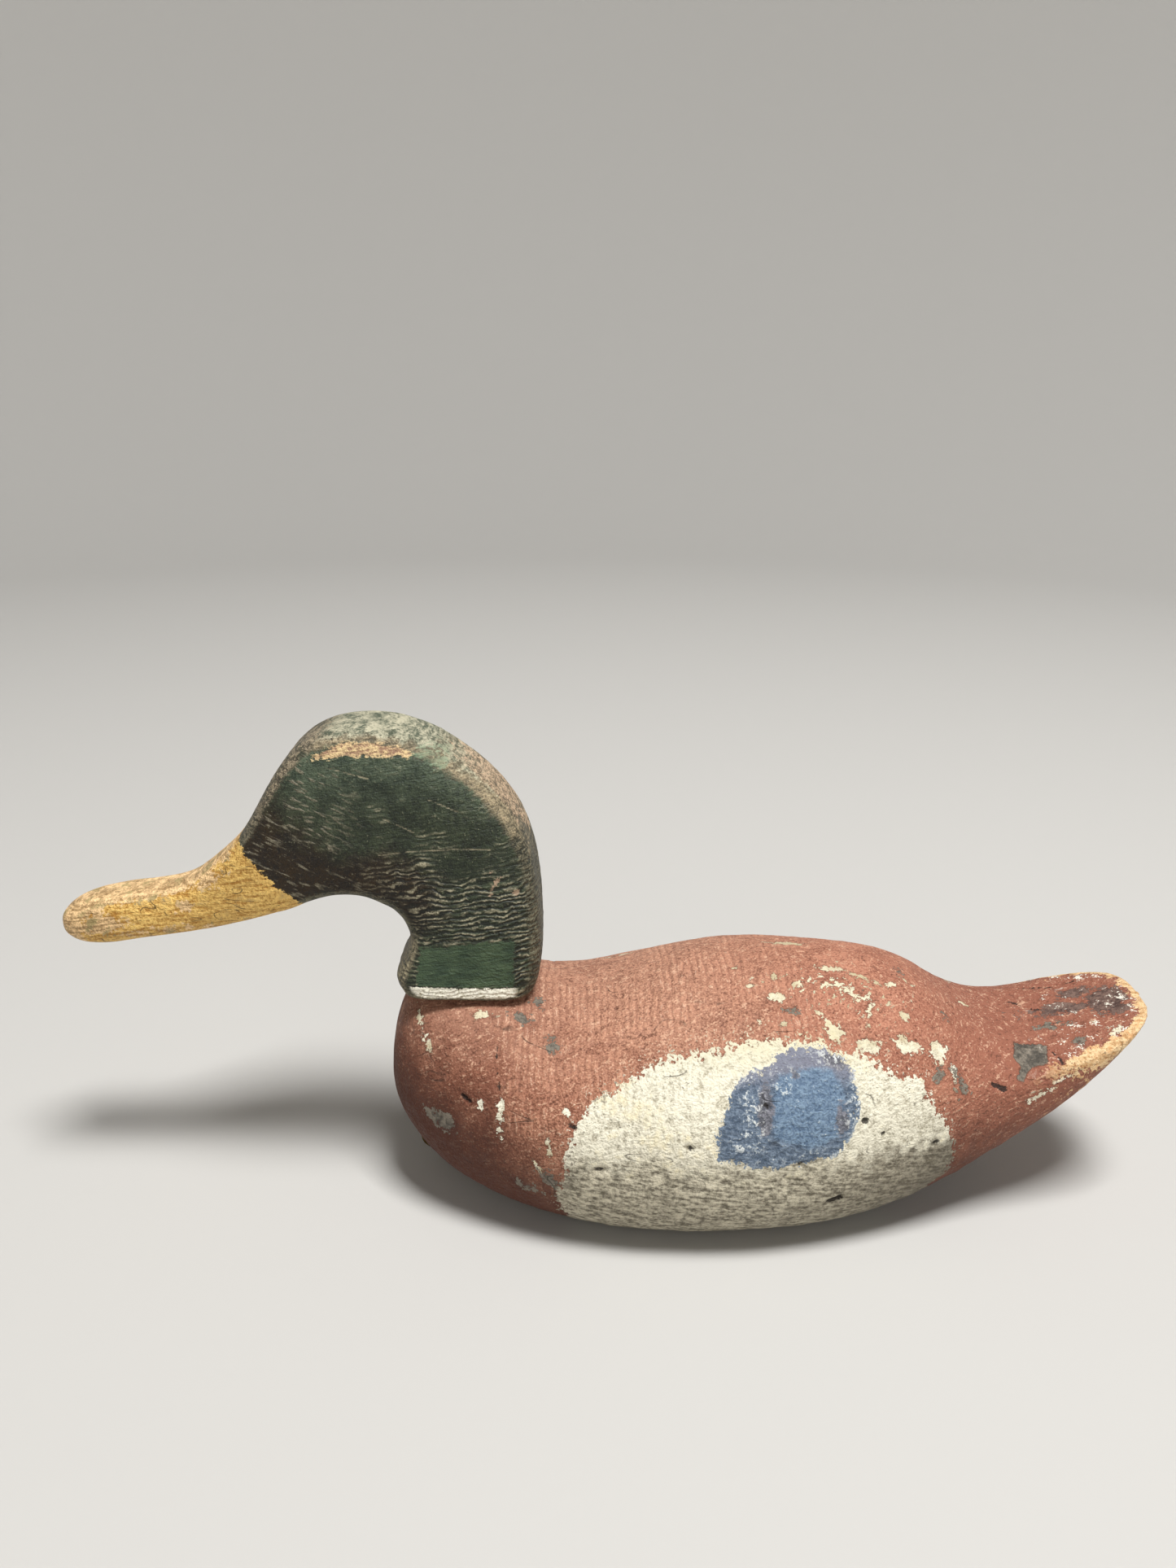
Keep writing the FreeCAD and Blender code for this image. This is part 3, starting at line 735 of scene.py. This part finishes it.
def worn_rim(m):
    """Rounded edge of the board: sage crown, speckled nape with bare wood, grey-tan forehead, dark below."""
    sage = m.mix(m.step(m.add(m.times(m.grain, 1.4), m.speckle), -1.3, 1.3), "4f5746", "bdb79d")
    nape = m.mix(m.step(m.add(m.speckle, m.times(m.grain, 0.6)), -1.1, 1.1), "57503e", "ab9a7b")
    brow = m.mix(m.step(m.add(m.fine, m.grit, m.times(m.grain, 0.8)), -1, 1), "423c31", "a09279")
    brow = m.mix(m.step(m.add(m.patch, m.mid), -0.2, 0.8, 0, 0.75), brow, "343a2c")
    deep = m.mix(m.step(m.add(m.speckle, m.times(m.grain, 0.8)), -0.9, 1.3), "23261b", "7b7660")
    rim = m.mix(m.step(m.add(m.facing_up, m.times(m.ragged, 0.14)), 0.88, 0.62), sage, nape)
    rim = m.mix(m.step(m.add(m.field("forward"), m.times(m.ragged, 0.1)), 0.2, 0.45), rim, brow)
    rim = m.mix(m.step(m.add(m.height, m.times(m.ragged, 5), m.times(m.patch, 5)), 84, 54), rim, deep)
    wood = m.mix(m.step(m.add(m.speckle, m.times(m.grain, 0.5)), -1.1, 1), "7d6450", "cdb192")
    wood = m.mix(m.step(m.add(m.grit, m.mid), -0.5, -1.1), wood, "3d2d22")
    bared = m.step(m.add(m.field("nape_bare"), m.times(m.ragged, 3), m.times(m.patch, 2)), -1.5, 2)
    upwards = m.step(m.add(m.flat, m.times(m.ragged, 0.12)), 0.34, 0.12)
    rim = m.mix(m.times(bared, upwards, m.step(m.speckle, -0.9, 0.6)), rim, wood)
    foot = m.times(m.step(m.field("forward"), 0.35, 0.7), m.step(m.speckle, -0.8, 0.6),
                   m.step(m.add(m.height, m.times(m.mid, 3)), 30, 22), 0.8)
    return m.mix(foot, rim, "9c9176")


def head_marks(m, base):
    """Bare strip by the crown, mint scuff, marks and scratches; returns the colour and the cut parts."""
    mint = m.step(m.add(m.field("mint"), m.times(m.ragged, 1.4)), -0.2, 0.8)
    base = m.mix(m.times(mint, m.step(m.grain, -0.9, 0.3), 0.65), base, "7f9276")
    strip = m.step(m.add(m.field("bare_strip"), m.times(m.ragged, 0.9), m.times(m.grain, 0.8)), -0.5, 0.5)
    wood = m.mix(m.step(m.add(m.grain, m.speckle), -1, 1), "94725a", "e0c492")
    base = m.mix(strip, base, wood)
    base = m.mix(m.step(m.add(m.field("marks"), m.ragged), 0.1, 0.5), base, "a08870")
    scratch = m.step(m.add(m.field("scratch"), m.times(m.fine, 0.15)), 0.5, 0.15)
    scratch = m.times(scratch, m.step(m.mid, -0.6, 0.2))
    return m.mix(m.times(scratch, 0.75), base, "a0977c"), m.most(scratch, strip)


def neck_ring(m, base):
    """Cream ring above the worn bevel at the neck's foot; returns the colour and the ring."""
    base = m.mix(m.step(m.add(m.height, m.times(m.ragged, 0.8)), 2.4, 1.2), base,
                 m.mix(m.step(m.speckle, -0.8, 0.8), "554d3b", "9a8f74"))
    band = m.least(m.calc("SUBTRACT", m.height, RING_BOTTOM), m.calc("SUBTRACT", RING_TOP, m.height))
    band = m.add(band, m.times(m.ragged, 0.6))
    ring = m.times(m.step(band, 0, 0.3), m.step(m.flat, 0.86, 0.95),
                   m.step(m.add(m.fine, m.mid), 0.95, 0.7),
                   m.step(m.add(m.tailwards, m.ragged), RING_BACK + 1.5, RING_BACK - 1.5))
    cream = m.mix(m.step(m.speckle, -1.2, 0.4), "aaa287", "fbf6e4")
    base = m.mix(m.times(m.lip(band, 0.5), 0.6), base, "3a3627")
    return m.mix(ring, base, cream), ring


def bill_coat(m, base):
    """Ochre, worn to tan and olive wood at top, edges and tip, with painted shadow along the edges of the
    worn patches; returns the colour and the worn part.
    """
    bill = m.step(m.add(m.field("bill"), m.ragged, m.grain), -0.3, 0.3)
    ochre = m.mix(m.step(m.add(m.speckle, m.times(m.grain, 1.2)), -1.3, 1.3), "ab782f", "ffd67e")
    ochre = m.mix(m.step(m.add(m.broad, m.patch), 0, 1.3, 0, 0.4), ochre, "d2aa5c")
    dull = m.step(m.add(m.mid, m.times(m.patch, 0.8), m.times(m.grain, 0.5)), 0.3, 1.3, 0, 0.55)
    ochre = m.mix(dull, ochre, "a98a5e")
    ochre = m.mix(m.step(m.add(m.fine, m.grain), 0.75, 1.4, 0, 0.85), ochre, "80602c")
    hairs = m.times(m.cracks(12, 0.035, stretch=(2.5, 2.5, 1)), m.step(m.patch, -0.3, 0.3))
    ochre = m.mix(hairs, ochre, "5c4521")
    tan = m.mix(m.step(m.add(m.times(m.grain, 1.3), m.speckle), -1.3, 1.3), "9a7a4f", "ffd7a0")
    tan = m.mix(m.step(m.add(m.patch, m.mid), 0.1, 0.8, 0, 0.8), tan, "978758")
    worn = m.add(m.field("bill_bare"), m.times(m.ragged, 2.2))
    edges = m.times(m.add(m.field("edge"), m.times(m.ragged, 0.12), -0.4), 8)
    top = m.times(m.add(m.facing_up, m.times(m.ragged, 0.2), -0.6), 5)
    worn = m.most(worn, m.most(edges, top))
    gone = m.step(worn, -0.3, 0.2)
    # Painted shadow: dark lines along the edges of the worn patches.
    paint_edge_shadows = m.times(m.lip(worn, 0.4), m.step(m.mid, -0.3, 0.5), 0.5)
    coat = m.mix(paint_edge_shadows, m.mix(gone, ochre, tan), "4f3f22")
    return m.mix(bill, base, coat), m.times(bill, gone)


def head_paint():
    """All the head's coats: green sides, worn rim, marks, neck ring and bill."""
    m = Coat("worn_head_paint")
    head_noises(m)
    repaint = m.step(m.add(m.field("repaint"), m.times(m.ragged, 0.8), m.grain), -0.4, 0.6)
    green, ridges, ridged = neck_ridges(m, green_coat(m), repaint)
    green, stroke = face_strokes(m, green, ridged)
    fresh = m.mix(m.step(m.add(m.grain, m.patch), -1.2, 1.2), "2e3f2e", "4b5d42")
    green = m.mix(repaint, green, fresh)
    side = m.step(m.add(m.flat, m.times(m.mid, 0.07), m.times(m.fine, 0.07)), 0.74, 0.9)
    base = m.mix(side, worn_rim(m), green)
    arris = m.step(m.add(m.field("edge"), m.times(m.ragged, 0.12)), 0.32, 0.55)
    wood = m.mix(m.step(m.add(m.grain, m.speckle), -1.2, 1.2), "8d6c55", "d3bb97")
    base = m.mix(m.times(arris, m.step(m.height, 45, 75), m.step(m.speckle, -0.7, 0.5), 0.7), base, wood)
    base = m.mix(m.times(m.step(m.add(m.grit, m.fine), -1, -1.6), m.no(side)), base, "2c231a")
    base, cut = head_marks(m, base)
    base, ring = neck_ring(m, base)
    base, gone = bill_coat(m, base)
    relief = m.add(m.times(ridges, 0.26), m.times(stroke, 0.22), m.times(m.grain, 0.16),
                   m.times(m.fine, 0.2), m.times(m.grit, 0.1), m.times(m.mid, 0.1), m.times(ring, 0.15),
                   m.times(cut, -0.1), m.times(gone, -0.12))
    return m.finish(base, m.step(m.add(m.fine, m.mid), -1.5, 1.5, 0.42, 0.7), relief)


# ---------------------------------------------------------------- small parts
def metal(name, low, high, stain, metallic):
    """Dull metal, cloudy and pitted, with rougher stained spots."""
    m = Coat(name)
    m.shader.inputs["Metallic"].default_value = metallic
    cloud = m.noise(4, detail=4)
    fine = m.noise(0.5)
    spot = m.add(m.noise(1.8, detail=4, rough=0.7, shift=3), m.times(cloud, 0.5))
    base = m.mix(m.step(m.add(cloud, m.times(fine, 0.6)), -0.9, 0.9), low, high)
    base = m.mix(m.step(spot, 0.1, 0.45), base, stain)
    rough = m.add(m.step(fine, -1, 1, 0.35, 0.6), m.step(spot, 0.1, 0.45, 0, 0.3))
    return m.finish(base, rough, m.add(m.times(fine, 0.04), m.times(spot, 0.05)))


def dowel_wood():
    """Bare turned hardwood, with its grain along Z."""
    m = Coat("dowel_wood")
    grain = m.noise(0.8, stretch=(1, 1, 12))
    fine = m.noise(0.6)
    base = m.mix(m.step(m.add(grain, m.times(fine, 0.4)), -1, 1), "93693d", "cba878")
    return m.finish(base, m.step(grain, -1, 1, 0.6, 0.8), m.times(grain, 0.05))


def dress(node, material):
    """Puts the material on all slots of a CAD node."""
    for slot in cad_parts[node].material_slots:
        slot.material = material


def dress_small_parts():
    steel = metal("rusty_steel", "3b2f28", "7a6a5e", "70401f", 0.8)
    brass = metal("tarnished_brass", "4a3a1e", "8f7440", "3c4a38", 0.9)
    dress("neck_dowel", dowel_wood())
    dress("neck_screw", steel)
    dress("neck_washer", steel)
    dress("ballast_weight", metal("oxidised_lead", "55544f", "716f69", "8b8980", 0.5))
    dress("ballast_screws", brass)
    dress("line_tie_staple", metal("galvanised_wire", "5a5854", "8b8984", "6d4a2f", 0.8))
    dress("line_tie_ring", brass)


# ---------------------------------------------------------------- studio
# Metres and degrees; the camera's sensor and lens are in mm.
CAMERA_PLACE = (-0.0095, -0.4786, 0.334)
CAMERA_DOWN = 19
CAMERA_ROLL = 0.5
SENSOR = 36
LENS = 29.9
LIGHT_AIM = (0, 0, 0.08)
LIGHT_SIZE = 0.8
WORLD_STRENGTH = 0.1
FLOOR_REACH = 2.6
FLOOR_TOP = 3
FLOOR_BEND = 1  # radius between floor and wall
FLOOR_BEND_ROWS = 12
FLOOR_CENTRE = 0.01
FLOOR_SIDES = 64
FLOOR_COLOUR = "bfbdb9"


def camera():
    data = bpy.data.cameras.new("camera")
    data.sensor_width = SENSOR
    data.lens = LENS
    view = bpy.data.objects.new("camera", data)
    tilt = Matrix.Rotation(math.radians(90 - CAMERA_DOWN), 4, "X")
    roll = Matrix.Rotation(math.radians(CAMERA_ROLL), 4, "Z")
    view.matrix_world = Matrix.Translation(CAMERA_PLACE) @ tilt @ roll
    bpy.context.scene.collection.objects.link(view)
    bpy.context.scene.camera = view


def area_light(name, place, watts):
    data = bpy.data.lights.new(name, "AREA")
    data.size = LIGHT_SIZE
    data.energy = watts
    light = bpy.data.objects.new(name, data)
    light.location = place
    light.rotation_euler = (Vector(LIGHT_AIM) - Vector(place)).to_track_quat("-Z", "Y").to_euler()
    bpy.context.scene.collection.objects.link(light)


def pale_floor():
    """Round floor that bends up into a wall on all sides."""
    flat = FLOOR_REACH - FLOOR_BEND
    profile = [(FLOOR_CENTRE, 0), (flat, 0)]
    for angle in np.linspace(0.1, math.pi / 2, FLOOR_BEND_ROWS):
        profile.append((flat + FLOOR_BEND * math.sin(angle), FLOOR_BEND * (1 - math.cos(angle))))
    profile.append((FLOOR_REACH, FLOOR_TOP))
    turns = [2 * math.pi * k / FLOOR_SIDES for k in range(FLOOR_SIDES)]
    vertices = [(r * math.cos(t), r * math.sin(t), z) for r, z in profile for t in turns]
    faces = [tuple(range(FLOOR_SIDES))]
    for row in range(len(profile) - 1):
        inner, outer = row * FLOOR_SIDES, (row + 1) * FLOOR_SIDES
        for k in range(FLOOR_SIDES):
            after = (k + 1) % FLOOR_SIDES
            faces.append((inner + k, inner + after, outer + after, outer + k))
    mesh = bpy.data.meshes.new("floor")
    mesh.from_pydata(vertices, [], faces)
    mesh.shade_smooth()
    floor = bpy.data.objects.new("floor", mesh)
    bpy.context.scene.collection.objects.link(floor)
    material = bpy.data.materials.new("pale_floor")
    material.use_nodes = True
    shader = material.node_tree.nodes["Principled BSDF"]
    shader.inputs["Base Color"].default_value = colour(FLOOR_COLOUR)
    shader.inputs["Roughness"].default_value = 0.9
    mesh.materials.append(material)


def studio():
    pale_floor()
    area_light("key", (0.4, -0.55, 2.6), 92)
    area_light("fill", (0.5, -1.5, 0.7), 2.5)
    world = bpy.data.worlds.new("studio")
    world.use_nodes = True
    sky = world.node_tree.nodes["Background"]
    sky.inputs["Color"].default_value = (1, 1, 1, 1)
    sky.inputs["Strength"].default_value = WORLD_STRENGTH
    bpy.context.scene.world = world
    bpy.context.scene.view_settings.view_transform = "Standard"


camera()
studio()
carved_body()
carved_head()
dress_small_parts()
